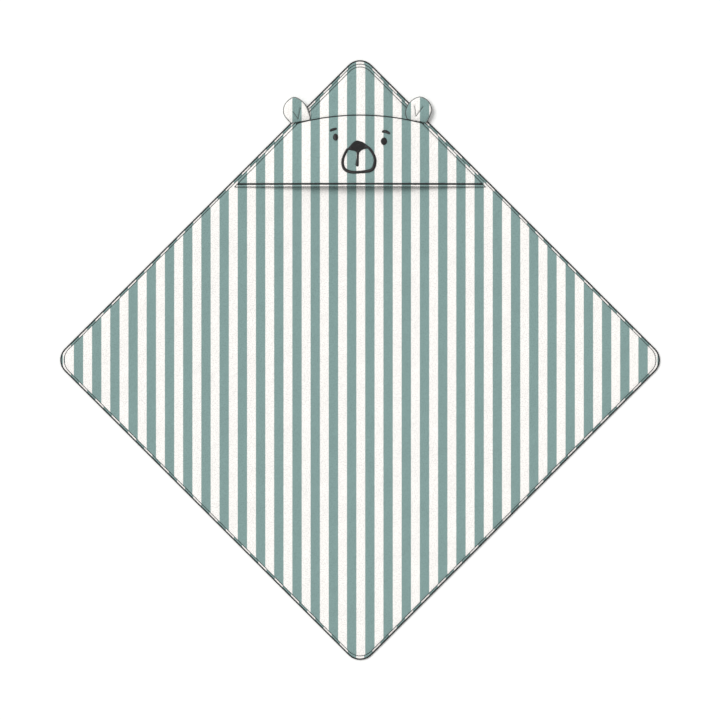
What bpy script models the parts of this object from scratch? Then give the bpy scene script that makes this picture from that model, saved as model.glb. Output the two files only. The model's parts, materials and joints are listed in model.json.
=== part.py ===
"""Hooded baby towel: a square terry towel laid flat, face up, with a triangular hood sewn on one corner.

+Z is up and the towel lies on z = 0. The hooded corner points along +Y. The towel folds at four lines,
one across each corner, and the two ears fold at the ends of the hood's crown seam.
"""

import math

import bmesh
import bpy
from mathutils import Vector

# Towel cloth, in metres
SIDE = 0.750  # side of the square towel
CLOTH = 0.0030  # thickness of the terry
RIM_RADIUS = 0.028  # rounding of each corner
FOLD = 0.275  # from the middle to each fold line
HINGE_RISE = 0.0015  # height of a fold's axis above the cloth
GAP = 0.0003  # air between sewn pieces that touch

# Thread that finishes the towel's edge
EDGING = 0.0020  # width of the overlocked edge
EDGING_FOOT = 0.0002  # the edging is held this far off the ground
EDGING_TOP = 0.0034
STITCH_INSET = 0.0050  # from the rim to the line of topstitch
STITCH_RADIUS = 0.027
THREAD = 0.0008  # width of one line of thread
THREAD_RISE = 0.0005  # how far a line of thread stands up

# Hood
HOOD_CLOTH = 0.0022
HOOD_INSET = 0.0085  # from the rim to the hood's sewn sides
HOOD_RADIUS = 0.0244  # rounding of the hood's tip
HOOD_FOOT = 0.2988  # the hood's open lower edge
HOOD_VAULT = 0.014  # how far the slack hood rises off the towel at its mouth
PIPING_AT = 0.3045
PIPING = 0.0033  # width and height of the piping
SEAM_TOP = 0.4240  # highest point of the crown seam
SEAM_RADIUS = 0.430
SEAM_THREAD = 0.0014

# Ears
EAR_CLOTH = 0.0028  # thickness of one of an ear's two layers
EAR_FOOT = 0.0067  # underside of a resting ear
EAR_ROOT = 0.0016  # clear of the ear's fold line
EAR_THREAD = 0.0009
LEFT_EAR_BASE = ((-0.1204, 0.4098), (-0.0852, 0.4158))
LEFT_EAR_EDGE = (
    (-0.1303, 0.4226), (-0.1324, 0.4335), (-0.1276, 0.4455), (-0.1150, 0.4545),
    (-0.1028, 0.4495), (-0.0932, 0.4392), (-0.0880, 0.4265),
)
LEFT_TUCK = ((-0.1151, 0.4283), (-0.1068, 0.4177), (-0.1031, 0.4363))
RIGHT_EAR_BASE = ((0.0807, 0.4172), (0.1160, 0.4105))
RIGHT_EAR_EDGE = (
    (0.0787, 0.4290), (0.0832, 0.4415), (0.0930, 0.4512), (0.1055, 0.4550),
    (0.1182, 0.4476), (0.1238, 0.4345), (0.1216, 0.4245),
)
RIGHT_TUCK = ((0.0946, 0.4402), (0.0964, 0.4216), (0.1105, 0.4412))

# Embroidered face
EMBROIDERY = 0.0010  # how far the satin stitch stands up
EYES = {"eye_left": ((-0.0423, 0.3853), 0.0093, 0.0120), "eye_right": ((0.0414, 0.3782), 0.0111, 0.0131)}
BROWS = {
    "brow_left": (((-0.0520, 0.3970), (-0.0463, 0.3988), (-0.0400, 0.4002)), 0.0037),
    "brow_right": (((0.0395, 0.3953), (0.0453, 0.3947), (0.0508, 0.3916)), 0.0044),
}
NOSE = ((-0.0058, 0.3792), (0.0066, 0.3748), (0.0140, 0.3686), (-0.0040, 0.3603), (-0.0192, 0.3652))
MUZZLE = (
    (-0.0215, 0.3622), (-0.0302, 0.3409), (-0.0207, 0.3254), (-0.0030, 0.3236),
    (0.0171, 0.3262), (0.0254, 0.3409), (0.0179, 0.3640),
)
MUZZLE_THREAD = 0.0047
MOUTH = ((-0.0036, 0.3585), (-0.0036, 0.3480), (-0.0051, 0.3362))
MOUTH_THREAD = 0.0045

# Worked out from the dimensions above
ROOT2 = math.sqrt(2)
HALF = SIDE / 2
HINGE_Z = CLOTH + HINGE_RISE
THREAD_Z = CLOTH + GAP  # underside of thread that lies on the towel
HOOD_Z = CLOTH + GAP  # underside of the hood where it is sewn down
HOOD_TOP = HOOD_Z + HOOD_CLOTH
EAR_SPLIT = EAR_FOOT + EAR_CLOTH + GAP  # underside of an ear's front layer
EAR_TOP = EAR_SPLIT + EAR_CLOTH
EAR_HINGE = EAR_SPLIT - GAP / 2
HOOD_SUM = (HALF - HOOD_INSET) * ROOT2  # |x| + y along the hood's sewn sides

CELL = 0.020  # facets of the vaulted hood
ARC_STEPS = 8

TERRY = ("terry", "#86A19D", 0.95)
EDGE_THREAD = ("edge_thread", "#23282A", 0.7)
EMBROIDERY_THREAD = ("embroidery_thread", "#231F20", 0.5)
EAR_EDGE_THREAD = ("ear_thread", "#6F716E", 0.7)


def linear(hex_colour):
    """An sRGB hex colour as linear red, green, blue and alpha."""
    channels = [int(hex_colour[i : i + 2], 16) / 255 for i in (1, 3, 5)]
    return [c / 12.92 if c <= 0.04045 else ((c + 0.055) / 1.055) ** 2.4 for c in channels] + [1.0]


def new_material(name, finish):
    _, colour, roughness = finish
    material = bpy.data.materials.new(name)
    material.use_nodes = True
    principled = material.node_tree.nodes["Principled BSDF"]
    principled.inputs["Base Color"].default_value = linear(colour)
    principled.inputs["Roughness"].default_value = roughness
    principled.inputs["Metallic"].default_value = 0.0
    return material


def add_piece(name, mesh, finish, parent=None):
    """One named sub-part with a material of its own, placed by its parent."""
    piece = bpy.data.objects.new(name, mesh)
    bpy.context.collection.objects.link(piece)
    mesh.materials.clear()
    mesh.materials.append(new_material(f"{name}_{finish[0]}", finish))
    piece.parent = parent
    return piece


def add_hinge(name, place, turn):
    """An empty on a fold line, with its own X axis along the fold."""
    hinge = bpy.data.objects.new(name, None)
    hinge.empty_display_size = 0.05
    hinge.location = place
    hinge.rotation_euler = (0, 0, turn)
    bpy.context.collection.objects.link(hinge)
    return hinge


# Curves in the plane


def smooth(points, closed=False, steps=5):
    """A Catmull-Rom curve through the points."""
    points = [Vector(point) for point in points]
    count = len(points)
    curve = []
    for i in range(count if closed else count - 1):
        if closed:
            a, b, c, d = (points[(i + k) % count] for k in (-1, 0, 1, 2))
        else:
            a, b, c, d = (points[min(max(i + k, 0), count - 1)] for k in (-1, 0, 1, 2))
        for step in range(steps):
            t = step / steps
            ends = 2 * b + (c - a) * t
            bend = (2 * a - 5 * b + 4 * c - d) * t * t
            twist = (3 * b - a - 3 * c + d) * t * t * t
            curve.append((ends + bend + twist) / 2)
    return curve if closed else [*curve, points[-1]]


def divided(path, longest):
    """The same path with no straight run over the longest."""
    path = [Vector(point) for point in path]
    finer = [path[0]]
    for start, end in zip(path, path[1:]):
        parts = math.ceil((end - start).length / longest)
        finer += [start.lerp(end, k / parts) for k in range(1, parts + 1)]
    return finer


def rounded_corner(inset, radius):
    """The arc at the +Y corner of a square that lies inset from the rim, from its right end to its left."""
    middle = (HALF - inset - radius) * ROOT2
    angles = [math.pi / 4 + math.pi / 2 * k / ARC_STEPS for k in range(ARC_STEPS + 1)]
    return [Vector((radius * math.cos(a), middle + radius * math.sin(a))) for a in angles]


def along_corner(inset, radius, lowest):
    """Both sides and the arc of the +Y corner, from a height on the right round to the left."""
    reach = (HALF - inset) * ROOT2 - lowest
    return [Vector((reach, lowest)), *rounded_corner(inset, radius), Vector((-reach, lowest))]


def seam_height(x):
    """Y of the crown seam, which is an arc."""
    return SEAM_TOP - SEAM_RADIUS + math.sqrt(SEAM_RADIUS**2 - x * x)


def seam_reach(offset):
    """How far out the seam, moved by the offset, meets the hood's sewn side."""
    rise = HOOD_SUM - offset - (SEAM_TOP - SEAM_RADIUS)
    return (rise - math.sqrt(2 * SEAM_RADIUS**2 - rise * rise)) / 2


def seam_arc(offset, reach):
    """The crown seam from left to right, moved along Y by the offset."""
    steps = 4 * ARC_STEPS
    across = [reach * (2 * k / steps - 1) for k in range(steps + 1)]
    return [Vector((x, seam_height(x) + offset)) for x in across]


def vault(x, y):
    """How far the slack hood stands off the towel: most at the mouth, nothing along its sewn sides."""
    width = HOOD_SUM - y
    if abs(x) >= width:
        return 0.0
    up = (y - HOOD_FOOT) / (HOOD_SUM - HOOD_FOOT)
    return HOOD_VAULT * (1 - (x / width) ** 2) ** 2 * math.cos(math.pi / 2 * max(up, 0.0)) ** 2


# Solids


def lift_and_close(bm, base, height, drape, origin):
    """Gives a flat sheet its thickness and its drape, and puts its origin where the piece turns."""
    top = bmesh.ops.extrude_face_region(bm, geom=bm.faces[:])
    raised = [v for v in top["geom"] if isinstance(v, bmesh.types.BMVert)]
    bmesh.ops.translate(bm, verts=raised, vec=(0, 0, height))
    for v in bm.verts:
        v.co.z += base + (drape(v.co.x, v.co.y) if drape else 0.0)
    bmesh.ops.translate(bm, verts=bm.verts[:], vec=-Vector(origin))
    bmesh.ops.recalc_face_normals(bm, faces=bm.faces[:])
    mesh = bpy.data.meshes.new("piece")
    bm.to_mesh(mesh)
    bm.free()
    return mesh


def plate(outline, base, height, drape=None, origin=(0, 0, 0)):
    """A sheet of one thickness inside an outline, with facets where it is draped."""
    bm = bmesh.new()
    bm.faces.new([bm.verts.new((x, y, 0)) for x, y in outline])
    if drape:
        for axis in (0, 1):
            places = [v.co[axis] for v in bm.verts]
            first = math.ceil(min(places) / CELL)
            last = math.floor(max(places) / CELL)
            across = Vector((1 - axis, axis, 0))
            for k in range(first, last + 1):
                everything = bm.verts[:] + bm.edges[:] + bm.faces[:]
                on_line = across * k * CELL
                bmesh.ops.bisect_plane(bm, geom=everything, dist=0.0001, plane_co=on_line, plane_no=across)
    return lift_and_close(bm, base, height, drape, origin)


def strip(path, width, base, height, drape=None, closed=False, origin=(0, 0, 0)):
    """A band of one width whose middle follows a path."""
    path = [Vector(point) for point in path]
    count = len(path)
    bm = bmesh.new()
    rungs = []
    for i, point in enumerate(path):
        before = path[i - 1] if closed or i else point
        after = path[(i + 1) % count] if closed or i < count - 1 else point
        along_in = (point - before).normalized() if before != point else (after - point).normalized()
        along_out = (after - point).normalized() if after != point else along_in
        along = (along_in + along_out).normalized()
        side = Vector((-along.y, along.x)) * (width / 2 / max(along.dot(along_in), 0.5))
        rungs.append([bm.verts.new((*(point + side * sign), 0)) for sign in (1, -1)])
    for i in range(count if closed else count - 1):
        (a, b), (c, d) = rungs[i], rungs[(i + 1) % count]
        bm.faces.new((a, b, d, c))
    return lift_and_close(bm, base, height, drape, origin)


# The towel: a middle and four corners that fold over it

QUARTER = math.pi / 2
CORNERS = {"head": 0, "left": QUARTER, "foot": 2 * QUARTER, "right": -QUARTER}
SIDES = {"top_left": 0, "bottom_left": QUARTER, "bottom_right": 2 * QUARTER, "top_right": -QUARTER}
CLOTH_INSET = EDGING + GAP


def turned(points, turn):
    """Points in the plane turned about the towel's middle."""
    c, s = math.cos(turn), math.sin(turn)
    return [Vector((c * x - s * y, s * x + c * y)) for x, y in points]


def make_centre():
    edge = FOLD - GAP / 2
    cut = (HALF - CLOTH_INSET) * ROOT2 - edge
    outline = [point for turn in SIDES.values() for point in turned([(-cut, edge), (-edge, cut)], turn)]
    add_piece("towel_centre", plate(outline, 0, CLOTH), TERRY)
    for name, turn in SIDES.items():
        for kind, inset, width, base, top in (
            ("edging", EDGING / 2, EDGING, EDGING_FOOT, EDGING_TOP),
            ("topstitch", STITCH_INSET, THREAD, THREAD_Z, THREAD_Z + THREAD_RISE),
        ):
            back_off = 2 * width
            short = (HALF - inset) * ROOT2 - FOLD + back_off
            path = turned([(-short, FOLD - back_off), (-(FOLD - back_off), short)], turn)
            add_piece(f"{kind}_{name}", strip(path, width, base, top - base), EDGE_THREAD)


def make_corners():
    """Each corner is modelled at the head and turned into place by its hinge."""
    origin = (0, FOLD, HINGE_Z)
    start = FOLD + GAP / 2
    for name, turn in CORNERS.items():
        place = turned([(0, FOLD)], turn)[0]
        hinge = add_hinge(f"fold_{name}", (*place, HINGE_Z), turn)
        cloth = along_corner(CLOTH_INSET, RIM_RADIUS - CLOTH_INSET, start)
        add_piece(f"towel_{name}", plate(cloth, 0, CLOTH, origin=origin), TERRY, hinge)
        edge = along_corner(EDGING / 2, RIM_RADIUS - EDGING / 2, start + 2 * EDGING)
        edging = strip(edge, EDGING, EDGING_FOOT, EDGING_TOP - EDGING_FOOT, origin=origin)
        add_piece(f"edging_{name}", edging, EDGE_THREAD, hinge)
        line = along_corner(STITCH_INSET, STITCH_RADIUS, start + 2 * THREAD)
        thread = strip(line, THREAD, THREAD_Z, THREAD_RISE, origin=origin)
        add_piece(f"topstitch_{name}", thread, EDGE_THREAD, hinge)


# The hood, which rides on the head corner


def make_hood(head):
    origin = (0, FOLD, HINGE_Z)

    def hood_plate(outline, base=HOOD_Z, height=HOOD_CLOTH):
        return plate(outline, base, height, vault, origin)

    def hood_line(path, width, height, base=HOOD_TOP + GAP):
        return strip(divided(path, CELL), width, base, height, vault, origin=origin)

    foot = PIPING_AT + PIPING / 2 + GAP
    below = -GAP / 2
    seam_below = seam_arc(below, seam_reach(below))
    face = [(HOOD_SUM - foot, foot), *reversed(seam_below), (foot - HOOD_SUM, foot)]
    add_piece("hood_face", hood_plate(face), TERRY, head)

    above = GAP / 2
    crown = [*seam_arc(above, seam_reach(above)), *rounded_corner(HOOD_INSET, HOOD_RADIUS)]
    add_piece("hood_crown", hood_plate(crown), TERRY, head)

    hem_top = PIPING_AT - PIPING / 2 - GAP
    hem = [
        (HOOD_FOOT - HOOD_SUM, HOOD_FOOT), (HOOD_SUM - HOOD_FOOT, HOOD_FOOT),
        (HOOD_SUM - hem_top, hem_top), (hem_top - HOOD_SUM, hem_top),
    ]
    add_piece("hood_hem", hood_plate(hem), TERRY, head)

    reach = HOOD_SUM - PIPING_AT - PIPING / 2 - 2 * THREAD
    piping = hood_line([(-reach, PIPING_AT), (reach, PIPING_AT)], PIPING, PIPING, base=HOOD_Z)
    add_piece("hood_piping", piping, EDGE_THREAD, head)

    low = HOOD_FOOT + THREAD / 2
    reach = HOOD_SUM - low - 2 * THREAD
    hem_stitch = hood_line([(-reach, low), (reach, low)], THREAD, THREAD_RISE)
    add_piece("hood_hem_stitch", hem_stitch, EDGE_THREAD, head)

    side = along_corner(HOOD_INSET + THREAD / 2, HOOD_RADIUS, low + THREAD)
    add_piece("hood_side_stitch", hood_line(side, THREAD, THREAD_RISE), EDGE_THREAD, head)

    seam = seam_arc(0, seam_reach(0) - 3 * SEAM_THREAD)
    add_piece("crown_seam", hood_line(seam, SEAM_THREAD, THREAD_RISE), EDGE_THREAD, head)


def make_face(head):
    origin = (0, FOLD, HINGE_Z)
    base = HOOD_TOP + GAP

    def patch(outline):
        return plate(outline, base, EMBROIDERY, vault, origin)

    def satin_line(points, width):
        return strip(smooth(points), width, base, EMBROIDERY, vault, origin=origin)

    for name, ((x, y), width, height) in EYES.items():
        angles = [QUARTER * k / 4 for k in range(16)]
        oval = [(x + width / 2 * math.cos(a), y + height / 2 * math.sin(a)) for a in angles]
        add_piece(name, patch(oval), EMBROIDERY_THREAD, head)
    for name, (points, width) in BROWS.items():
        add_piece(name, satin_line(points, width), EMBROIDERY_THREAD, head)
    add_piece("nose", patch(smooth(NOSE, closed=True)), EMBROIDERY_THREAD, head)
    add_piece("muzzle_outline", satin_line(MUZZLE, MUZZLE_THREAD), EMBROIDERY_THREAD, head)
    add_piece("mouth_line", satin_line(MOUTH, MOUTH_THREAD), EMBROIDERY_THREAD, head)


def drawn_in(path, point, distance):
    """The path with each of its points moved this far towards one point."""
    return [place + (point - place).normalized() * distance for place in path]


def make_ear(name, base, edge, tuck, head):
    """Two layers of terry stitched together round their edge, on a hinge along the ear's sewn base."""
    left, right = (Vector(point) for point in base)
    along = (right - left).normalized()
    out = Vector((-along.y, along.x))
    middle = (left + right) / 2
    hinge = add_hinge(f"{name}_fold", (*(middle - Vector((0, FOLD))), EAR_HINGE - HINGE_Z), 0)
    hinge.parent = head
    origin = (*middle, EAR_HINGE)

    outer = smooth([left + out * EAR_ROOT, *edge, right + out * EAR_ROOT])
    thread_line = drawn_in(outer, middle + out * EAR_ROOT, EAR_THREAD / 2)
    cloth = drawn_in(outer, middle + out * EAR_ROOT, EAR_THREAD + 2 * GAP)
    add_piece(f"{name}_back", plate(cloth, EAR_FOOT, EAR_CLOTH, origin=origin), TERRY, hinge)
    add_piece(f"{name}_front", plate(cloth, EAR_SPLIT, EAR_CLOTH, origin=origin), TERRY, hinge)
    ring = strip(thread_line[1:-1], EAR_THREAD, EAR_HINGE - EAR_THREAD, 2 * EAR_THREAD, origin=origin)
    add_piece(f"{name}_edge_stitch", ring, EAR_EDGE_THREAD, hinge)
    tuck_line = strip(tuck, EAR_THREAD, EAR_TOP + GAP, THREAD_RISE, origin=origin)
    add_piece(f"{name}_tuck_stitch", tuck_line, EAR_EDGE_THREAD, hinge)


def main():
    for old in list(bpy.data.objects):
        bpy.data.objects.remove(old, do_unlink=True)
    make_centre()
    make_corners()
    head = bpy.data.objects["fold_head"]
    make_hood(head)
    make_face(head)
    make_ear("ear_left", LEFT_EAR_BASE, LEFT_EAR_EDGE, LEFT_TUCK, head)
    make_ear("ear_right", RIGHT_EAR_BASE, RIGHT_EAR_EDGE, RIGHT_TUCK, head)


main()
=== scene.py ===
# %% [markdown]
# # A hooded baby towel
# A square of striped terry lies face up with one corner away from us. A triangle of the same terry is sewn
# over that corner as a hood, with two little ears and an embroidered animal's face.
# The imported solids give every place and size; this script gives each piece its cloth, thread and stitches.

# %% Load the frame
import json
import math

import bmesh
import bpy
import numpy as np
from mathutils import Matrix, Vector
from mathutils.bvhtree import BVHTree
from mathutils.geometry import convex_hull_2d


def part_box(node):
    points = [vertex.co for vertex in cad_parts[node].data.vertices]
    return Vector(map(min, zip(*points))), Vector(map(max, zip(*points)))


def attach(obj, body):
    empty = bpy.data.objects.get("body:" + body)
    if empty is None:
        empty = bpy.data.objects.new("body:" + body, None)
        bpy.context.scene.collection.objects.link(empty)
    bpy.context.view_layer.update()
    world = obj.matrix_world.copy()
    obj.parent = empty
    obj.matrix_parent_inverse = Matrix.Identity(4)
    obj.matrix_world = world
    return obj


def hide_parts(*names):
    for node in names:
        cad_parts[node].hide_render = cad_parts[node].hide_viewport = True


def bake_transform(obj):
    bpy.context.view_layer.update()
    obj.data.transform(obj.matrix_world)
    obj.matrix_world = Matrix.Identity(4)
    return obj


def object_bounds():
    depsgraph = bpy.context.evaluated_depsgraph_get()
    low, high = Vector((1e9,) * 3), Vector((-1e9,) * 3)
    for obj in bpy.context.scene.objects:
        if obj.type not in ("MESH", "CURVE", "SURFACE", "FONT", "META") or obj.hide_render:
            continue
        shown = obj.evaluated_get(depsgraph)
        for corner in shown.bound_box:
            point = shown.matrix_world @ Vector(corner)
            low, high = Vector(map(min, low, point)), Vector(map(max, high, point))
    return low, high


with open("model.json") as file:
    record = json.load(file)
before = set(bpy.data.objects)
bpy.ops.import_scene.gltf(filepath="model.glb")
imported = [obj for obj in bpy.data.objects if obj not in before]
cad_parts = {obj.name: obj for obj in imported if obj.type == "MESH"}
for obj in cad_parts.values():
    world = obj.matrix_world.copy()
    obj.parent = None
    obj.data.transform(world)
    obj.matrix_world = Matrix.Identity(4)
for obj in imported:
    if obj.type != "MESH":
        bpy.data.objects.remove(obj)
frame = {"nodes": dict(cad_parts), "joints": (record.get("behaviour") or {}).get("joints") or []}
cad_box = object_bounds()
print("solids:", len(frame["nodes"]), "box:", [tuple(round(c, 4) for c in corner) for corner in cad_box])

# %% [markdown]
# ## Camera, floor and light
# A towel shows its whole outline only from straight above. A long lens keeps its square from spreading
# at the edges, and its distance follows from how much wider than the towel the picture is.

# %% Camera
TOWEL_WIDTH = cad_box[1].x - cad_box[0].x  # from tip to tip
VIEW_WIDTH = 1.2015 * TOWEL_WIDTH  # leaves white all round
LENS = 300.0

camera_data = bpy.data.cameras.new("camera")
camera_data.lens = LENS
camera_data.clip_end = 100
camera = bpy.data.objects.new("camera", camera_data)
distance = VIEW_WIDTH / 2 * LENS / (camera_data.sensor_width / 2)
camera.location = (0, 0, distance)
bpy.context.scene.collection.objects.link(camera)
bpy.context.scene.camera = camera
print(f"camera {distance:.2f} m up, {VIEW_WIDTH:.3f} m across")

# %% [markdown]
# White cloth on a white floor needs light that is even but not flat: a bright room all round, and one
# very soft sun from the upper left that is just strong enough to shade the pile and the rise of the hood. A
# sun lights the whole floor alike, where a lamp would leave its far side grey.


# %% Colours and small helpers
def linear(hex_colour):
    """An sRGB hex colour as the linear numbers that shaders use."""
    channels = [int(hex_colour[i : i + 2], 16) / 255 for i in (1, 3, 5)]
    return [c / 12.92 if c <= 0.04045 else ((c + 0.055) / 1.055) ** 2.4 for c in channels] + [1.0]


def add_node(tree, kind, settings=None, **inputs):
    """Adds a shader node. An input is a value, or the output socket that feeds it."""
    node = tree.nodes.new(kind)
    for name, value in (settings or {}).items():
        setattr(node, name, value)
    for name, value in inputs.items():
        socket = node.inputs[int(name[1:])] if name[0] == "_" else node.inputs[name.replace("_", " ")]
        if isinstance(value, bpy.types.NodeSocket):
            tree.links.new(value, socket)
        else:
            socket.default_value = value
    return node


def new_material(name, colour, roughness, sheen=0.0):
    """A material, its tree and its Principled node."""
    material = bpy.data.materials.new(name)
    material.use_nodes = True
    principled = material.node_tree.nodes["Principled BSDF"]
    principled.inputs["Base Color"].default_value = linear(colour)
    principled.inputs["Roughness"].default_value = roughness
    principled.inputs["Sheen Weight"].default_value = sheen
    return material, material.node_tree, principled


# %% Floor and light
FLOOR_SIZE = 60.0
scene = bpy.context.scene
scene.view_settings.view_transform = "Standard"

bm = bmesh.new()
bmesh.ops.create_grid(bm, x_segments=1, y_segments=1, size=FLOOR_SIZE / 2)
floor_mesh = bpy.data.meshes.new("floor")
bm.to_mesh(floor_mesh)
bm.free()
floor = bpy.data.objects.new("floor", floor_mesh)
scene.collection.objects.link(floor)
floor_mesh.materials.append(new_material("matt_white_floor", "#FBFBFA", 0.9)[0])

world = bpy.data.worlds.new("white_room")
world.use_nodes = True
world.node_tree.nodes["Background"].inputs["Color"].default_value = linear("#FFFFFF")
world.node_tree.nodes["Background"].inputs["Strength"].default_value = 0.58
scene.world = world

SUN_FROM = Vector((-0.62, 0.48, 1.0))  # from the upper left
sun = bpy.data.lights.new("soft_key", "SUN")
sun.energy = 2.1
sun.angle = math.radians(35)
sun_holder = bpy.data.objects.new("soft_key", sun)
sun_holder.rotation_mode = "QUATERNION"
sun_holder.rotation_quaternion = SUN_FROM.to_track_quat("Z", "Y")
scene.collection.objects.link(sun_holder)

# %% [markdown]
# ## Sizes, read from the solids
# Every piece below is placed from these few values, so it lies exactly where its solid does.


# %% Sizes
def joint(name):
    return next(j for j in frame["joints"] if j["name"] == name)


ROOT2 = math.sqrt(2)
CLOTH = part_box("towel_centre")[1].z
FOLD = joint("hooded_corner_lift")["pos_m"][1]
BEND = 0.022  # length of cloth that rolls over at a fold

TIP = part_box("edging_head")[1].y
EDGING_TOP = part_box("edging_head")[1].z
HALF = 0.375  # half the towel's side
RIM_RADIUS = (HALF * ROOT2 - TIP) / (ROOT2 - 1)
STITCH_INSET = 0.0050  # from the rim to the line of topstitch
STITCH_RADIUS = 0.027  # rounding of that line at the tips

HOOD_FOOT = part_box("hood_hem")[0].y
HOOD_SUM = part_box("hood_hem")[1].x + HOOD_FOOT  # |x| + y along the hood's sewn sides
HOOD_HALF = HOOD_SUM / ROOT2
HOOD_RADIUS = 0.0244  # rounding of the hood at its tip
HOOD_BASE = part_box("hood_crown")[0].z
HOOD_CLOTH = 0.0022  # thickness of its terry
HOOD_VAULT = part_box("hood_hem")[1].z - HOOD_BASE - HOOD_CLOTH
piping_low, piping_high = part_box("hood_piping")
PIPING_AT = (piping_low.y + piping_high.y) / 2
PIPING = piping_high.y - piping_low.y
seam_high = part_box("crown_seam")[1]
SEAM_THREAD = 0.0022
SEAM_TOP = seam_high.y - SEAM_THREAD / 2
SEAM_RADIUS = 0.430  # the crown seam is an arc
print(f"rim radius {RIM_RADIUS * 1000:.1f} mm, hood rises {HOOD_VAULT * 1000:.1f} mm")
print(f"cloth {CLOTH * 1000:.1f} mm thick")

# %% [markdown]
# ## How the cloth lies
# Cloth is never quite flat. `ripple` is the towel's slow unevenness, a millimetre or so that everything on
# it shares. `vault` is the slack of the hood, most at its open mouth and nothing along its sewn sides.
# `pile` is the terry itself, a field of loops, which is pressed down beside every row of stitches.


# %% Heights
def value_noise(x, y, size, seed):
    """Smooth random values from 0 to 1 on a square lattice of the given size, the same at every run."""
    i, j = np.floor(x / size), np.floor(y / size)
    u, v = x / size - i, y / size - j
    u, v = u * u * (3 - 2 * u), v * v * (3 - 2 * v)

    def lattice(a, b):
        wave = np.sin(a * 127.1 + b * 311.7 + seed * 74.7) * 43758.5453
        return wave - np.floor(wave)

    low = lattice(i, j) * (1 - u) + lattice(i + 1, j) * u
    high = lattice(i, j + 1) * (1 - u) + lattice(i + 1, j + 1) * u
    return low * (1 - v) + high * v


def smoothstep(t):
    t = np.clip(t, 0, 1)
    return t * t * (3 - 2 * t)


def rounded_inset(x, y, half, radius):
    """How far a point lies inside a square with round corners, turned by 45 degrees."""
    a, b = np.minimum(np.abs(x), np.abs(y)), np.maximum(np.abs(x), np.abs(y))
    middle = (half - radius) * ROOT2
    side = half - (a + b) / ROOT2
    corner = radius - np.hypot(a, b - middle)
    return np.where(b - middle > a, corner, side)


UNEVEN = 0.0016  # height of the towel's unevenness
SLOW_WAVE = 0.19  # its wide swells
QUICK_WAVE = 0.085  # and its narrow ones
SETTLED = 0.05  # it grows calmer this near the rim
PILE = 0.0007  # height of the loops
CLUMP = 0.0026  # sizes of the pile's unevenness
CROSS_CLUMP = 0.0047
NAP_PATCH = 0.021


def ripple(x, y):
    slow = value_noise(x + 0.31 * y, y - 0.22 * x, SLOW_WAVE, 1)
    quick = value_noise(x - 0.4 * y, y + 0.3 * x, QUICK_WAVE, 2)
    settle = smoothstep(rounded_inset(x, y, HALF, RIM_RADIUS) / SETTLED)
    return UNEVEN * (0.35 + 0.65 * settle) * (0.7 * slow + 0.3 * quick)


def vault(x, y):
    width = np.maximum(HOOD_SUM - y, 1e-6)
    across = np.clip(1 - (x / width) ** 2, 0, 1) ** 2
    up = np.clip((y - HOOD_FOOT) / (HOOD_SUM - HOOD_FOOT), 0, 1)
    return HOOD_VAULT * across * np.cos(np.pi / 2 * up) ** 2


def pile(x, y, seed=0):
    """The looped surface, as heights from -1 to 1."""
    loops = value_noise(x, y, CLUMP, seed + 3) + 0.6 * value_noise(x + y, y - x, CROSS_CLUMP, seed + 4)
    nap = value_noise(x, y, NAP_PATCH, seed + 5)
    return 1.1 * (loops - 0.8) + 0.5 * (nap - 0.5)


def seam_height(x):
    return SEAM_TOP - SEAM_RADIUS + np.sqrt(SEAM_RADIUS**2 - x * x)


def near_line(distance, reach):
    """1 on a line, falling to 0 at the reach."""
    return 1 - smoothstep(np.abs(distance) / reach)


# %% [markdown]
# ## Terry
# Cotton terry is woven with extra warp that stands up in loops, so it has no shine, a soft halo against the
# light and a grain of small shadows. The stripes are yarn-dyed: they show on both sides, and their edges
# wander by a third of a millimetre where loops of one colour lean over the other. The pattern follows the
# cloth, so it reads a UV map that holds each point's place on the flat towel, in metres. Outside the
# topstitch the hem is faced with a narrow strip of a slightly finer stripe, so the two don't line up there.

# %% Terry material
WHITE = "#FDFAF6"
GREEN = "#829E9B"
STRIPE = 0.01576  # width of one stripe
STRIPE_SHIFT = 0.00135  # the cut is not quite centred on a stripe
FACING_STRIPE = 0.0141  # the same two for the narrow facing at the hem
FACING_SHIFT = 0.0003
LOOP = 0.0017  # one loop as drawn, a little coarser than the real 1.4 mm so that it shows
LOOP_REACH = 0.62  # a loop's radius, as a share of its size
TANGLE = 0.0008  # how far loops lean out of their places
TANGLE_SIZE = 0.0011
STRIPE_WANDER = 0.0007  # how far a stripe's edge strays in all
FUZZ_SIZE = 0.0022
EDGE_INSIDE = 0.0005  # a stripe's edge fades from this far inside the white
EDGE_OUTSIDE = 0.0001
NAP_SIZE = 0.035  # patches where the pile is brushed one way


def stripe_place(tree, place):
    """How far across the stripes a point is, with the facing's finer stripes stretched to the same width."""
    across = add_node(tree, "ShaderNodeSeparateXYZ", Vector=place).outputs["X"]
    square = add_node(tree, "ShaderNodeMapping", Vector=place, Rotation=(0, 0, math.pi / 4))
    size = add_node(tree, "ShaderNodeVectorMath", {"operation": "ABSOLUTE"}, _0=square.outputs[0])
    straight = HALF - STITCH_INSET - STITCH_RADIUS  # half the straight part of the line of topstitch
    inner = (straight, straight, 0)
    past = add_node(tree, "ShaderNodeVectorMath", {"operation": "SUBTRACT"}, _0=size.outputs[0], _1=inner)
    past = add_node(tree, "ShaderNodeVectorMath", {"operation": "MAXIMUM"}, _0=past.outputs[0], _1=(0, 0, 0))
    far = add_node(tree, "ShaderNodeVectorMath", {"operation": "LENGTH"}, _0=past.outputs[0])
    facing = add_node(
        tree, "ShaderNodeMath", {"operation": "GREATER_THAN"}, _0=far.outputs["Value"], _1=STITCH_RADIUS
    )
    scale = STRIPE / FACING_STRIPE
    shift = STRIPE_SHIFT - scale * FACING_SHIFT
    finer = add_node(tree, "ShaderNodeMath", {"operation": "MULTIPLY_ADD"}, _0=across, _1=scale, _2=shift)
    return add_node(tree, "ShaderNodeMix", _0=facing.outputs[0], _2=across, _3=finer.outputs[0]).outputs[0]


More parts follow.
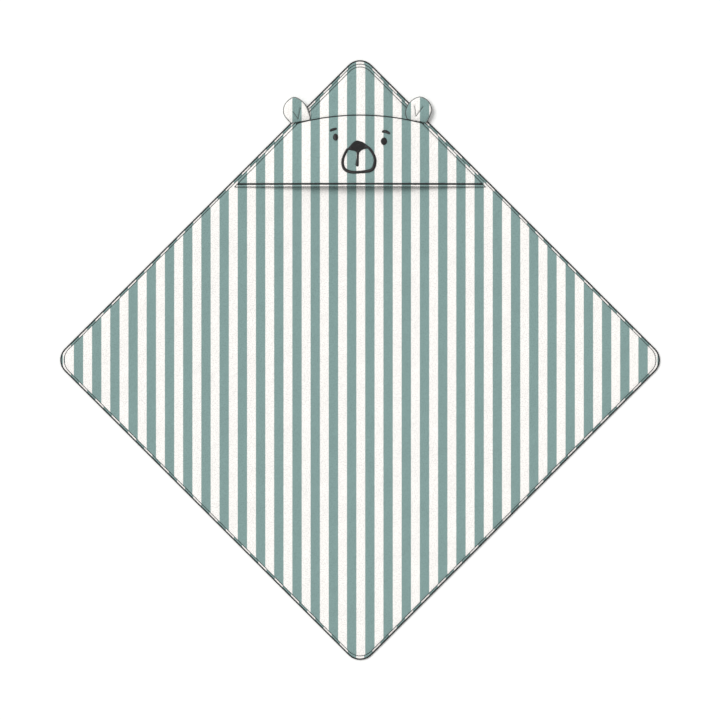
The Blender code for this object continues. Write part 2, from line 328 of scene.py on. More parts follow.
def terry_material(name):
    material, tree, principled = new_material(name, "#FFFFFF", 0.95, sheen=0.25)
    principled.inputs["Sheen Roughness"].default_value = 0.6
    principled.inputs["Specular IOR Level"].default_value = 0.2
    place = add_node(tree, "ShaderNodeTexCoord").outputs["UV"]
    fuzz = add_node(tree, "ShaderNodeTexNoise", Vector=place, Scale=1 / FUZZ_SIZE, Detail=1.0).outputs["Fac"]
    across = stripe_place(tree, place)
    lean = add_node(tree, "ShaderNodeMath", {"operation": "MULTIPLY_ADD"}, _0=fuzz, _1=STRIPE_WANDER, _2=across)
    shift = STRIPE_WANDER / 2 + STRIPE_SHIFT
    centred = add_node(tree, "ShaderNodeMath", {"operation": "SUBTRACT"}, _0=lean.outputs[0], _1=shift)
    from_white = add_node(tree, "ShaderNodeMath", {"operation": "PINGPONG"}, _0=centred.outputs[0], _1=STRIPE)
    low, high = STRIPE / 2 - EDGE_INSIDE, STRIPE / 2 + EDGE_OUTSIDE
    stripe = add_node(tree, "ShaderNodeMapRange", Value=from_white.outputs[0], From_Min=low, From_Max=high)
    cotton = add_node(
        tree, "ShaderNodeMix", {"data_type": "RGBA"}, _0=stripe.outputs[0], _6=linear(WHITE), _7=linear(GREEN)
    )

    tangle = add_node(tree, "ShaderNodeTexNoise", Vector=place, Scale=1 / TANGLE_SIZE, Detail=1.0)
    tangled = add_node(
        tree,
        "ShaderNodeVectorMath",
        {"operation": "MULTIPLY_ADD"},
        _0=tangle.outputs["Color"],
        _1=[TANGLE] * 3,
        _2=place,
    )
    flat = {"voronoi_dimensions": "2D"}
    loops = add_node(
        tree, "ShaderNodeTexVoronoi", flat, Vector=tangled.outputs[0], Scale=1 / LOOP, Randomness=0.85
    )
    fallen = add_node(tree, "ShaderNodeMath", {"operation": "POWER"}, _0=loops.outputs["Distance"], _1=2.0)
    round_top = add_node(
        tree, "ShaderNodeMapRange", Value=fallen.outputs[0], From_Max=LOOP_REACH**2, To_Min=1.0, To_Max=0.0
    )
    dome = add_node(tree, "ShaderNodeMath", {"operation": "SQRT"}, _0=round_top.outputs[0])
    # Painted shade and highlight: the colour falls to 0.8 in the gaps between the loops and rises a little on
    # their round tops.
    loop_painted_shade = add_node(tree, "ShaderNodeMapRange", Value=dome.outputs[0], To_Min=0.80, To_Max=1.03)
    nap = add_node(tree, "ShaderNodeTexNoise", Vector=place, Scale=1 / NAP_SIZE, Detail=3.0)
    brushed = add_node(tree, "ShaderNodeMapRange", Value=nap.outputs["Fac"], To_Min=0.94, To_Max=1.06)
    shade = add_node(
        tree, "ShaderNodeMath", {"operation": "MULTIPLY"}, _0=loop_painted_shade.outputs[0], _1=brushed.outputs[0]
    )
    colour = add_node(
        tree, "ShaderNodeVectorMath", {"operation": "SCALE"}, _0=cotton.outputs[2], Scale=shade.outputs[0]
    )
    tree.links.new(colour.outputs[0], principled.inputs["Base Color"])

    bump = add_node(tree, "ShaderNodeBump", Strength=0.5, Distance=PILE, Height=dome.outputs[0])
    tree.links.new(bump.outputs[0], principled.inputs["Normal"])
    return material


terry = terry_material("yarn_dyed_cotton_terry")

# %% [markdown]
# ## Thread
# Overlocking and topstitching use spun polyester: matt, slightly fuzzy, two strands twisted together. The
# face is filled with rayon, which is smoother and shines along each strand. The twist is a slanted band on
# each stitch's own UV map, which goes once round the stitch and once along it. The band's darker colour is
# painted shade in the groove between the strands.


# %% Thread materials
def thread_material(name, colour, groove_shade_colour, roughness, sheen, turns):
    material, tree, principled = new_material(name, colour, roughness, sheen)
    place = add_node(tree, "ShaderNodeTexCoord").outputs["UV"]
    bands = {"bands_direction": "DIAGONAL"}
    twist = add_node(tree, "ShaderNodeTexWave", bands, Vector=place, Scale=turns, Distortion=1.5)
    # Painted shade: the darker colour goes where the twist band is low, in the groove between the strands.
    shades = {"_6": linear(groove_shade_colour), "_7": linear(colour)}
    strand = add_node(tree, "ShaderNodeMix", {"data_type": "RGBA"}, _0=twist.outputs["Fac"], **shades)
    tree.links.new(strand.outputs[2], principled.inputs["Base Color"])
    bump = add_node(tree, "ShaderNodeBump", Strength=0.5, Distance=0.0001, Height=twist.outputs["Fac"])
    tree.links.new(bump.outputs[0], principled.inputs["Normal"])
    return material


edge_thread = thread_material("spun_polyester_thread_black", "#14191A", "#090B0C", 0.8, 0.05, 1.0)
grey_thread = thread_material("spun_polyester_thread_grey", "#636664", "#3E413F", 0.75, 0.1, 1.0)
satin_thread = thread_material("rayon_embroidery_thread", "#211D1E", "#0F0D0D", 0.42, 0.0, 2.0)

# %% [markdown]
# ## A sheet of terry
# Each sheet starts as a grid that is cut to its outline with planes, one for each straight edge and a fan of
# them for each round corner. One extrusion closes it into a thin solid, and then every point gets its height.
# The grid lines are multiples of the cell, so that neighbouring sheets meet point to point at a fold.


# %% Sheets
def add_piece(name, mesh, material, nodes):
    """A finished piece at the origin, which stands for its solids."""
    mesh.name = name
    piece = bpy.data.objects.new(name, mesh)
    scene.collection.objects.link(piece)
    mesh.materials.clear()
    mesh.materials.append(material)
    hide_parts(*nodes)
    return piece


def positions(mesh):
    places = np.empty(len(mesh.vertices) * 3)
    mesh.vertices.foreach_get("co", places)
    return places.reshape(-1, 3)


def flat_grid(low, high, cell):
    """A flat grid over a rectangle, with its lines on multiples of the cell."""
    first = [math.floor(low[k] / cell) for k in (0, 1)]
    last = [math.ceil(high[k] / cell) for k in (0, 1)]
    counts = [last[k] - first[k] for k in (0, 1)]
    bm = bmesh.new()
    bmesh.ops.create_grid(bm, x_segments=counts[0], y_segments=counts[1], size=0.5)
    scale = Matrix.Diagonal((counts[0] * cell, counts[1] * cell, 1, 1))
    middle = [(first[k] + last[k]) / 2 * cell for k in (0, 1)]
    bmesh.ops.transform(bm, matrix=Matrix.Translation((*middle, 0)) @ scale, verts=bm.verts[:])
    return bm


def cut(bm, point, normal):
    """Removes what lies beyond a plane."""
    everything = bm.verts[:] + bm.edges[:] + bm.faces[:]
    bmesh.ops.bisect_plane(
        bm, geom=everything, dist=2e-5, plane_co=(*point, 0), plane_no=(*normal, 0), clear_outer=True
    )


def cut_diamond(bm, half, radius, turns):
    """Cuts the sides and the round tips of the towel's square at the given quarter turns."""
    for turn in turns:
        angles = [turn + math.pi / 4 * k / 7 for k in range(-7, 8)]
        middle = Vector((math.cos(turn), math.sin(turn))) * (half - radius) * ROOT2
        for angle in angles:
            normal = Vector((math.cos(angle), math.sin(angle)))
            cut(bm, middle + normal * radius, normal)


def close_sheet(bm, under, over):
    """Closes a flat sheet into a solid between two height functions, with a map of its flat place."""
    top = bmesh.ops.extrude_face_region(bm, geom=bm.faces[:])["geom"]
    bmesh.ops.translate(bm, verts=[v for v in top if isinstance(v, bmesh.types.BMVert)], vec=(0, 0, 1))
    bmesh.ops.recalc_face_normals(bm, faces=bm.faces[:])
    mesh = bpy.data.meshes.new("sheet")
    bm.to_mesh(mesh)
    bm.free()
    map_flat(mesh)
    places = positions(mesh)
    x, y, is_top = places[:, 0], places[:, 1], places[:, 2] > 0.5
    places[:, 2] = np.where(is_top, over(x, y), under(x, y))
    mesh.vertices.foreach_set("co", places.ravel())
    mesh.shade_smooth()
    mesh.set_sharp_from_angle(angle=math.radians(65))
    mesh.update()
    return mesh


def map_flat(mesh, moved=(0, 0)):
    """A UV map with each point's x and y, in metres, moved to where that cloth was cut from."""
    places = positions(mesh)[:, :2] + moved
    corners = np.empty(len(mesh.loops), np.int32)
    mesh.loops.foreach_get("vertex_index", corners)
    flat = mesh.uv_layers.new(name="flat_cloth")
    flat.uv.foreach_set("vector", places[corners].astype(np.float32).ravel())


def report(piece):
    triangles = sum(len(p.vertices) - 2 for p in piece.data.polygons)
    print(f"{piece.name}: {triangles} triangles")


# %% [markdown]
# ## The towel
# The towel is one cut of cloth, but it folds at four lines, so it is modelled as a middle and four corners
# that share their edge points. Near the rim the cloth thins into the overlocked edge, and a shallow channel
# runs under the topstitch.

# %% Towel
CELL = 0.0025
EDGE_PINCH = 0.0012  # thickness that the overlocking leaves at the rim
EDGE_TAPER = 0.0065  # the cloth thins over this width
EDGE_LIFT = 0.0009  # holds the thin rim at half the cloth's height
FACE_CHANNEL = 0.0035  # reach of the channel under the topstitch
BACK_CHANNEL = 0.003
CLOTH_HALF = HALF - 0.0012  # the cloth ends inside the edging
QUARTER = math.pi / 2


def rim_inset(x, y):
    return rounded_inset(x, y, HALF, RIM_RADIUS)


def channel(x, y, reach):
    """1 under the line of topstitch, falling to 0 at the reach."""
    return near_line(rounded_inset(x, y, HALF - STITCH_INSET, STITCH_RADIUS), reach)


def rim_lift(x, y):
    return EDGE_LIFT * (1 - smoothstep(rim_inset(x, y) / EDGE_TAPER))


def towel_thickness(x, y):
    body = EDGE_PINCH + (CLOTH - EDGE_PINCH) * smoothstep(rim_inset(x, y) / EDGE_TAPER)
    return body - 0.0007 * channel(x, y, FACE_CHANNEL)


def towel_under(x, y):
    sewn = channel(x, y, BACK_CHANNEL)
    return 0.0004 + ripple(x, y) + rim_lift(x, y) + 0.0004 * sewn + 0.35 * PILE * (1 - sewn) * pile(x, y, 7)


def towel_top(x, y):
    """The towel's upper side without its loops."""
    return ripple(x, y) + rim_lift(x, y) + towel_thickness(x, y)


def towel_over(x, y):
    loops = smoothstep(rim_inset(x, y) / 0.006) * (1 - 0.8 * channel(x, y, FACE_CHANNEL))
    return towel_top(x, y) + PILE * loops * pile(x, y)


CORNERS = {"right": 0, "head": QUARTER, "left": 2 * QUARTER, "foot": 3 * QUARTER}


def outward(turn):
    return Vector((round(math.cos(turn)), round(math.sin(turn))))


def bend_with(piece, corner):
    """Works out where the cloth would bend between the towel's middle and one corner, but only bakes the
    piece's transform.
    """
    out = outward(CORNERS[corner])
    start, end = out * FOLD, out * (FOLD + BEND)
    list(start)
    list(end)
    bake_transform(piece)


bm = flat_grid((-FOLD, -FOLD), (FOLD, FOLD), CELL)
for turn in CORNERS.values():
    cut(bm, outward(turn) * FOLD, outward(turn))
cut_diamond(bm, CLOTH_HALF, RIM_RADIUS, CORNERS.values())
mesh = close_sheet(bm, towel_under, towel_over)
towel_middle = add_piece("terry_middle", mesh, terry, ["towel_centre"])
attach(towel_middle, "middle")
report(towel_middle)

towel_corners = {}
for corner, turn in CORNERS.items():
    out = outward(turn)
    side = Vector((abs(out.y), abs(out.x)))
    ends = [out * FOLD - side * (TIP - FOLD + 0.02), out * TIP + side * (TIP - FOLD + 0.02)]
    low, high = (Vector(map(pick, *ends)) for pick in (min, max))
    bm = flat_grid(low, high, CELL)
    cut(bm, out * FOLD, -out)
    cut_diamond(bm, CLOTH_HALF, RIM_RADIUS, [turn])
    mesh = close_sheet(bm, towel_under, towel_over)
    name = f"terry_{corner}_corner"
    towel_corners[corner] = add_piece(name, mesh, terry, [f"towel_{corner}"])
    bend_with(towel_corners[corner], corner)
    report(towel_corners[corner])

# %% [markdown]
# ## Rows of stitches
# Every row of thread on the towel is the same small thing repeated: one stitch, a stretched bead with a
# few dozen faces, laid again and again along a path. Its length, slant and overlap turn it into topstitch,
# an overlocked rim, a twisted cord or satin stitch. The bead lies along its own z, so one matrix places it.


# %% Stitches
def make_bead(sides, rings, fullness=1.0, arch=0.0):
    """One stitch, 1 long and 1 thick, with its own UV map.

    A low fullness squares its ends, and an arch lifts its middle.
    """
    bm = bmesh.new()
    bm.loops.layers.uv.new("along_thread")
    bmesh.ops.create_uvsphere(bm, u_segments=sides, v_segments=rings, radius=0.5, calc_uvs=True)
    for v in bm.verts:
        v.co.z = math.copysign(0.5 * abs(2 * v.co.z) ** fullness, v.co.z)
        v.co.y += arch * (1 - 4 * v.co.z**2)
    mesh = bpy.data.meshes.new("bead")
    bm.to_mesh(mesh)
    bm.free()
    return mesh


PLAIN_BEAD = make_bead(6, 4, fullness=0.6)


def stitch_matrix(start, end, width, thick):
    """Places a bead from start to end, with its y upward."""
    along = end - start
    across = along.cross(Vector((0, 0, 1))).normalized()
    upward = across.cross(along).normalized()
    columns = Matrix((across * width, upward * thick, -along)).transposed().to_4x4()
    return Matrix.Translation((start + end) / 2) @ columns


def lay_beads(matrices, bead=PLAIN_BEAD):
    """One mesh with a copy of the bead under each matrix."""
    bm = bmesh.new()
    size = len(bead.vertices)
    for matrix in matrices:
        bm.from_mesh(bead)
        bm.verts.ensure_lookup_table()
        bmesh.ops.transform(bm, matrix=matrix, verts=bm.verts[-size:])
    bmesh.ops.recalc_face_normals(bm, faces=bm.faces[:])
    return finished(bm)


def joined(meshes):
    """Several meshes as one."""
    bm = bmesh.new()
    for mesh in meshes:
        bm.from_mesh(mesh)
    return finished(bm)


def finished(bm):
    mesh = bpy.data.meshes.new("stitches")
    bm.to_mesh(mesh)
    bm.free()
    mesh.shade_smooth()
    return mesh


def on_surface(points, height):
    """Points of the plane, lifted to the height there."""
    points = np.asarray(points, float)
    return [Vector(p) for p in np.column_stack([points, height(points[:, 0], points[:, 1])])]


def evenly(path, spacing):
    """Points at even spacing along a path in the plane, and the direction at each."""
    path = np.asarray([tuple(p) for p in path], float)
    runs = np.linalg.norm(np.diff(path, axis=0), axis=1)
    far = np.concatenate([[0], np.cumsum(runs)])
    count = max(2, round(far[-1] / spacing))
    at = (np.arange(count) + 0.5) * far[-1] / count
    points, ahead, behind = (
        np.stack([np.interp(at + shift, far, path[:, k]) for k in (0, 1)], axis=1)
        for shift in (0, 1e-4, -1e-4)
    )
    direction = ahead - behind
    return points, direction / np.linalg.norm(direction, axis=1, keepdims=True)


def turned(direction, angle):
    """Directions in the plane, turned by an angle."""
    c, s = math.cos(angle), math.sin(angle)
    x, y = direction[:, 0], direction[:, 1]
    return np.stack([c * x - s * y, s * x + c * y], axis=1)


def stitch_row(path, height, spacing, length, width, thick, slant=0.0, bead=PLAIN_BEAD):
    """Stitches along a path, each turned by the slant from it, resting at height(x, y)."""
    points, direction = evenly(path, spacing)
    half = turned(direction, slant) * length / 2
    starts, ends = (on_surface(points + sign * half, height) for sign in (-1, 1))
    return lay_beads([stitch_matrix(a, b, width, thick) for a, b in zip(starts, ends)], bead)


def corner_arc(half, radius, turn):
    """The round tip of the towel's square at a quarter turn, counter-clockwise."""
    middle = Vector((math.cos(turn), math.sin(turn))) * (half - radius) * ROOT2
    angles = [turn + math.pi / 4 * k / 8 for k in range(-8, 9)]
    return [middle + Vector((math.cos(a), math.sin(a))) * radius for a in angles]


def corner_path(half, radius, turn):
    """From a fold line round the tip to the same fold line."""
    out = outward(turn)
    side = Vector((-out.y, out.x))
    reach = half * ROOT2 - FOLD
    return [out * FOLD - side * reach, *corner_arc(half, radius, turn), out * FOLD + side * reach]


# %% [markdown]
# ## Rim
# The raw edge is overlocked: thread wraps over it again and again, closely enough to look like a thin dark
# cord. A single line of topstitch, 5 mm inside it, holds the edge and the narrow facing flat.

# %% Rim
OVERLOCK = 0.0027  # width of the overlocked rim
OVERLOCK_STEP = 0.0013  # from one wrap of thread to the next
OVERLOCK_AT = OVERLOCK / 2 - 0.0003  # its middle, in from the rim
THREAD = 0.0015  # width of a stitch; real thread is finer, but would not show
THREAD_THICK = 0.0012
TOPSTITCH_STEP = 0.0032
SIDES = {
    "top_right": QUARTER / 2,
    "top_left": QUARTER * 3 / 2,
    "bottom_left": QUARTER * 5 / 2,
    "bottom_right": QUARTER * 7 / 2,
}


def rim_height(x, y):
    return ripple(x, y) + EDGING_TOP / 2


def thread_height(x, y):
    return towel_top(x, y) + 0.0003


def bobbin_height(x, y):
    return towel_under(x, y) - 0.0001


def overlock(path):
    thick = EDGING_TOP - 0.0004
    return stitch_row(path, rim_height, OVERLOCK_STEP, OVERLOCK * 1.1, OVERLOCK_STEP * 1.5, thick, slant=1.15)


def plain_row(path, height):
    """One row of plain stitches, each just longer than the step, so that they touch."""
    return stitch_row(path, height, TOPSTITCH_STEP, TOPSTITCH_STEP * 1.02, THREAD, THREAD_THICK)


def topstitch(path):
    """A row on the face of the cloth and one on its back, where the bobbin thread shows."""
    return joined([plain_row(path, height) for height in (thread_height, bobbin_height)])


for corner, turn in CORNERS.items():
    mesh = overlock(corner_path(HALF - OVERLOCK_AT, RIM_RADIUS - OVERLOCK_AT, turn))
    edging = add_piece(f"rim_overlock_{corner}_corner", mesh, edge_thread, [f"edging_{corner}"])
    mesh = topstitch(corner_path(HALF - STITCH_INSET, STITCH_RADIUS, turn))
    line = add_piece(f"rim_topstitch_{corner}_corner", mesh, edge_thread, [f"topstitch_{corner}"])
    for piece in (edging, line):
        bend_with(piece, corner)
        report(piece)

for name, turn in SIDES.items():
    out = Vector((math.cos(turn), math.sin(turn)))
    along = Vector((-out.y, out.x))
    for kind, row, inset in (("edging", overlock, OVERLOCK_AT), ("topstitch", topstitch, STITCH_INSET)):
        reach = ROOT2 * FOLD - (HALF - inset)
        mesh = row([out * (HALF - inset) - along * reach, out * (HALF - inset) + along * reach])
        piece = add_piece(f"rim_{kind}_{name}", mesh, edge_thread, [f"{kind}_{name}"])
        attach(piece, "middle")

# %% [markdown]
# ## Hood
# The hood has a face panel and a crown panel, joined in a curved seam, and a narrow hem under a dark piping
# cord. Its panels are sheets like the towel's, on a finer grid because this is where the eye goes. The crown
# panel's lower edge is bent to the seam before its sides are cut. Each panel dips where it is sewn.

# %% Hood panels
HOOD_CELL = 0.0015
HOOD_PINCH = 0.0008  # thickness that is left where the hood is sewn down
SEAM_DIP = 0.0008
PIPING_DIP = 0.0006
SEWN_SINK = 0.0006


def hood_edge(x, y):
    """Distance in from the hood's sewn sides."""
    return rounded_inset(x, y, HOOD_HALF, HOOD_RADIUS)


def seam_distance(x, y):
    return y - seam_height(x)


def hood_base(x, y):
    """The hood's underside, without its loops. It sinks into the towel's pile along its sewn sides."""
    sewn = near_line(hood_edge(x, y), 0.008)
    return HOOD_BASE + ripple(x, y) + vault(x, y) - SEWN_SINK * sewn


def hood_top(x, y):
    """The hood's upper side, without its loops."""
    sewn = near_line(hood_edge(x, y), 0.006)
    seam = near_line(seam_distance(x, y), 0.005)
    piped = near_line(y - PIPING_AT, 0.005)
    hemmed = near_line(y - HOOD_FOOT, 0.0025)
    thickness = HOOD_CLOTH - (HOOD_CLOTH - HOOD_PINCH) * np.maximum(sewn, 0.6 * hemmed)
    return hood_base(x, y) + thickness - SEAM_DIP * seam * (1 - sewn) - PIPING_DIP * piped


def hood_over(x, y):
    quiet = np.maximum(near_line(hood_edge(x, y), 0.005), near_line(seam_distance(x, y), 0.003))
    return hood_top(x, y) + PILE * (1 - 0.8 * quiet) * pile(x, y, 20)


def hood_under(x, y):
    return hood_base(x, y) + 0.25 * PILE * pile(x, y, 30)


def hood_sheet(low, high, edge):
    """A panel of the hood between two values of y, one of which may follow the crown seam."""
    reach = HOOD_SUM - low
    bm = flat_grid((-reach, low - 0.02), (reach, high + 0.01), HOOD_CELL)
    if edge == "seam_above":
        cut(bm, (0, SEAM_TOP), (0, 1))
    if edge == "seam_below":
        cut(bm, (0, SEAM_TOP), (0, -1))
    if edge in ("seam_above", "seam_below"):
        span = SEAM_TOP - low if edge == "seam_above" else high - SEAM_TOP
        for v in bm.verts:
            is_near = abs(v.co.x) < SEAM_RADIUS * 0.6
            drop = float(seam_height(v.co.x)) - SEAM_TOP if is_near else -0.03
            v.co.y += drop * max(0.0, 1 - abs(v.co.y - SEAM_TOP) / span)
    if edge != "seam_below":
        cut(bm, (0, low), (0, -1))
    if edge == "plain":
        cut(bm, (0, high), (0, 1))
    cut_diamond(bm, HOOD_HALF, HOOD_RADIUS, [QUARTER])
    return close_sheet(bm, hood_under, hood_over)


face_foot = PIPING_AT + PIPING * 0.3
hem_top = PIPING_AT - PIPING * 0.3
hood_parts = {
    "hood_face_panel": (hood_sheet(face_foot, SEAM_TOP, "seam_above"), "hood_face"),
    "hood_crown_panel": (hood_sheet(SEAM_TOP, TIP, "seam_below"), "hood_crown"),
    "hood_hem_band": (hood_sheet(HOOD_FOOT, hem_top, "plain"), "hood_hem"),
}
hood = {}
for name, (mesh, node) in hood_parts.items():
    hood[name] = add_piece(name, mesh, terry, [node])
    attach(hood[name], "hooded_corner")
    report(hood[name])

# %% [markdown]
# The piping is a twisted cord: two strands that wind round each other show as short slanted beads. The
# crown seam and the hem and side rows are plain thread.


# %% Hood threads
def on_hood(x, y):
    return hood_top(x, y) + 0.0004


def piping_height(x, y):
    return HOOD_BASE + ripple(x, y) + vault(x, y) + PIPING / 2


def ride_row(name, mesh, material, node):
    """A row of stitches that stays whole and rides on the hooded corner."""
    piece = add_piece(name, mesh, material, [node])
    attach(piece, "hooded_corner")
    report(piece)
    return piece


PIPING_STEP = 0.0016
PIPING_STRAND = 0.0023  # width of one strand
SEAM_STEP = 0.0024
SEAM_STITCH = 0.0032

reach = HOOD_SUM - PIPING_AT - 0.002
cord = [(-reach, PIPING_AT), (reach, PIPING_AT)]
piping_mesh = stitch_row(cord, piping_height, PIPING_STEP, PIPING * 1.3, PIPING_STRAND, PIPING, slant=0.75)
piping = ride_row("hood_piping_cord", piping_mesh, edge_thread, "hood_piping")

low = HOOD_FOOT + THREAD / 2
reach = HOOD_SUM - low - THREAD
hem_mesh = plain_row([(-reach, low), (reach, low)], on_hood)
hem_row = ride_row("hood_hem_row", hem_mesh, edge_thread, "hood_hem_stitch")
side = [(reach, low), *corner_arc(HOOD_HALF - THREAD / 2, HOOD_RADIUS, QUARTER), (-reach, low)]
ride_row("hood_side_row", plain_row(side, on_hood), edge_thread, "hood_side_stitch")

reach = seam_high.x + 3 * SEAM_THREAD
across = np.linspace(-reach, reach, 60)
arc = zip(across, seam_height(across))
seam_mesh = stitch_row(arc, on_hood, SEAM_STEP, SEAM_STITCH, SEAM_THREAD, SEAM_THREAD, slant=0.12)
ride_row("crown_seam_cord", seam_mesh, edge_thread, "crown_seam")

# %% [markdown]
# ## Embroidered face
# A digitised embroidery fills small shapes and lines with satin stitch, threads that lie side by side from
# edge to edge, and wide shapes with rows of shorter stitches set like bricks, because a long thread would
# snag. Each thread here is one bead with blunt ends, arched over its padding.

# %% Satin stitch
SATIN_STEP = 0.0006  # between threads; real ones are 0.4 mm apart, too fine to show
SATIN_WIDTH = 0.00095
SATIN_THICK = 0.0012
LONGEST_STITCH = 0.0052  # a longer one would snag
SATIN_BEAD = make_bead(6, 6, fullness=0.45, arch=0.35)


def smooth(points, steps=12):
    """A Catmull-Rom curve through the points."""
    points = [Vector(p) for p in points]
    curve = []
    for i in range(len(points) - 1):
        a, b, c, d = (points[min(max(i + k, 0), len(points) - 1)] for k in (-1, 0, 1, 2))
        for step in range(steps):
            t = step / steps
            square, cube = 2 * a - 5 * b + 4 * c - d, 3 * b - a - 3 * c + d
            curve.append((2 * b + (c - a) * t + square * t**2 + cube * t**3) / 2)
    return [*curve, points[-1]]


def in_box(node, *shares):
    """Points given as shares of a solid's box, in place."""
    low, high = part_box(node)
    return [Vector((low.x + (high.x - low.x) * u, low.y + (high.y - low.y) * v)) for u, v in shares]


def satin_height(x, y):
    return hood_top(x, y) + PILE * 0.6


def fill_shape(outline, slant):
    """Starts and ends of threads at a slant, cut by the outline and split where they are too long."""
    corners = turned(np.array([tuple(p) for p in outline]), -slant)
    following = np.roll(corners, -1, axis=0)
    starts, ends = [], []
    rows = np.arange(corners[:, 1].min() + SATIN_STEP / 3, corners[:, 1].max(), SATIN_STEP)
    for count, row in enumerate(rows):
        crossing = (corners[:, 1] - row) * (following[:, 1] - row) < 0
        a, b = corners[crossing], following[crossing]
        meets = np.sort(a[:, 0] + (row - a[:, 1]) * (b[:, 0] - a[:, 0]) / (b[:, 1] - a[:, 1]))
        if len(meets) < 2:
            continue
        stops = [meets[0], meets[-1]]
        if meets[-1] - meets[0] > 2 * LONGEST_STITCH:
            brick = LONGEST_STITCH * (0.35 + count % 3 / 3)
            stops[1:1] = np.arange(meets[0] + brick, meets[-1] - 0.001, LONGEST_STITCH)
        starts += [(stop, row) for stop in stops[:-1]]
        ends += [(stop, row) for stop in stops[1:]]
    return turned(np.array(starts), slant), turned(np.array(ends), slant)


def cover_line(path, widths, slant=0.3):
    """Starts and ends of threads across a path, whose width goes evenly through the given widths."""
    points, direction = evenly(path, SATIN_STEP)
    wide = np.interp(np.linspace(0, 1, len(points)), np.linspace(0, 1, len(widths)), widths)
    to_end = np.minimum(np.arange(len(points)), np.arange(len(points))[::-1]) * SATIN_STEP
    wide = wide * np.sqrt(1 - (1 - np.clip(to_end / (wide / 2) + 0.15, 0, 1)) ** 2)
    half = turned(direction, math.pi / 2 - slant) * wide[:, None] / 2 / math.cos(slant)
    return points - half, points + half


def embroider(name, node, threads):
    starts, ends = (on_surface(points, satin_height) for points in threads)
    matrices = [stitch_matrix(a, b, SATIN_WIDTH, SATIN_THICK) for a, b in zip(starts, ends)]
    mesh = lay_beads(matrices, SATIN_BEAD)
    return ride_row(name, mesh, satin_thread, node)


def oval(node):
    """The oval that fills a solid's box."""
    angles = [k * math.tau / 40 for k in range(40)]
    return in_box(node, *((0.5 + 0.5 * math.cos(a), 0.5 + 0.5 * math.sin(a)) for a in angles))


# %% [markdown]
# The two eyes and brows are deliberately not alike, as if drawn by hand. The nose is widest at its top
# and runs into the muzzle line on both sides and into the mouth line below, so those overlap.

# %% The face
embroider("satin_eye_left", "eye_left", fill_shape(oval("eye_left"), 0.2))
embroider("satin_eye_right", "eye_right", fill_shape(oval("eye_right"), -0.2))

left_brow = in_box("brow_left", (0.03, 0.19), (0.44, 0.50), (0.96, 0.72))
embroider("satin_brow_left", "brow_left", cover_line(smooth(left_brow), [0.0044, 0.0046, 0.0042]))
right_brow = in_box("brow_right", (-0.10, 0.72), (0.45, 0.66), (0.97, 0.17))
embroider("satin_brow_right", "brow_right", cover_line(smooth(right_brow), [0.0046, 0.0058, 0.0040]))

nose_top = in_box(
    "nose", (-0.09, 0.20), (0.05, 0.51), (0.18, 0.76), (0.30, 0.93),
    (0.43, 1.0), (0.68, 0.88), (0.89, 0.66), (1.08, 0.36)
)  # fmt: skip
nose_foot = in_box(
    "nose", (0.89, 0.25), (0.72, 0.17), (0.60, 0.04), (0.54, -0.10), (0.39, -0.06), (0.28, 0.06), (0.06, 0.12)
)
embroider("satin_nose", "nose", fill_shape([*smooth(nose_top), *nose_foot], QUARTER))

muzzle = in_box(
    "muzzle_outline", (0.19, 1.01), (0.12, 0.84), (0.06, 0.64), (0.04, 0.46), (0.07, 0.27), (0.15, 0.15),
    (0.30, 0.085), (0.48, 0.08), (0.69, 0.11), (0.84, 0.15), (0.92, 0.24), (0.96, 0.40), (0.97, 0.58),
    (0.93, 0.77), (0.86, 0.93), (0.78, 1.05), (0.69, 1.12)
)  # fmt: skip
muzzle_widths = [0.0046, 0.0046, 0.0050, 0.0056, 0.0053, 0.0050, 0.0060, 0.0061, 0.0049, 0.0047, 0.0050]
embroider("satin_muzzle_line", "muzzle_outline", cover_line(smooth(muzzle), muzzle_widths))

mouth = in_box("mouth_line", (0.55, 1.10), (0.54, 0.60), (0.44, 0.25), (0.32, -0.05))
mouth_widths = [0.0052, 0.0041, 0.0041, 0.0056, 0.0070]
embroider("satin_mouth_line", "mouth_line", cover_line(smooth(mouth), mouth_widths))

# %% [markdown]
# ## Ears
# An ear is two small pieces of terry sewn round their edge and turned out, with a little wadding between.
# It starts as a flat pillow. Voxel remeshing makes its faces even, and a short cloth simulation with air
# pressure inside swells it while its sewn edge stays put. A cap on how far a point may go keeps it slim.
# The tuck in its front is pressed in afterwards, because remeshing would smooth it away.

# %% Ear shapes
EAR_CELL = 0.0016
EAR_PINCH = 0.0009  # half thickness at its sewn edge
EAR_PUFF = 0.0013  # half thickness that the wadding adds before it is swollen
EAR_SWELL = 0.0012  # the most that pressure may move a point
EAR_VOXEL = 0.0011
EAR_PUFF_REACH = 0.009  # from its edge to where it is fully puffed
EAR_PINNED = 0.0022  # width of the sewn edge, which stays put
EAR_ROOT_DROP = 0.0030  # its sewn base lies this far below its middle
EAR_TIP_DROP = 0.0012
EAR_TAIL = 0.0022  # cloth that runs on past the fold, into the seam
EAR_CORD = 0.0014  # width of its stitched edge
EAR_CORD_STEP = 0.0011
TUCK_STITCH = 0.0026


def hull(places):
    """The convex outline round some points, counter-clockwise."""
    return [places[i] for i in convex_hull_2d(places)]


def outline_of(*nodes):
    """The outline of some solids from above."""
    return hull([v.co.xy for node in nodes for v in frame["nodes"][node].data.vertices])


def ear_hinge(side):
    """A point on an ear's fold line, and the direction from it to the ear's tip."""
    hinge = joint(f"{side}_ear_fold")
    axis = Vector(hinge["axis"])
    return Vector(hinge["pos_m"]).xy, Vector((-axis.y, axis.x))


def inside_outline(x, y, outline):
    """How far points lie inside a convex outline."""
    nearest = np.full(np.shape(x), np.inf)
    for a, b in zip(outline, outline[1:] + outline[:1]):
        if (b - a).length > 1e-6:
            inward = Vector((a.y - b.y, b.x - a.x)).normalized()
            nearest = np.minimum(nearest, (x - a.x) * inward.x + (y - a.y) * inward.y)
    return nearest


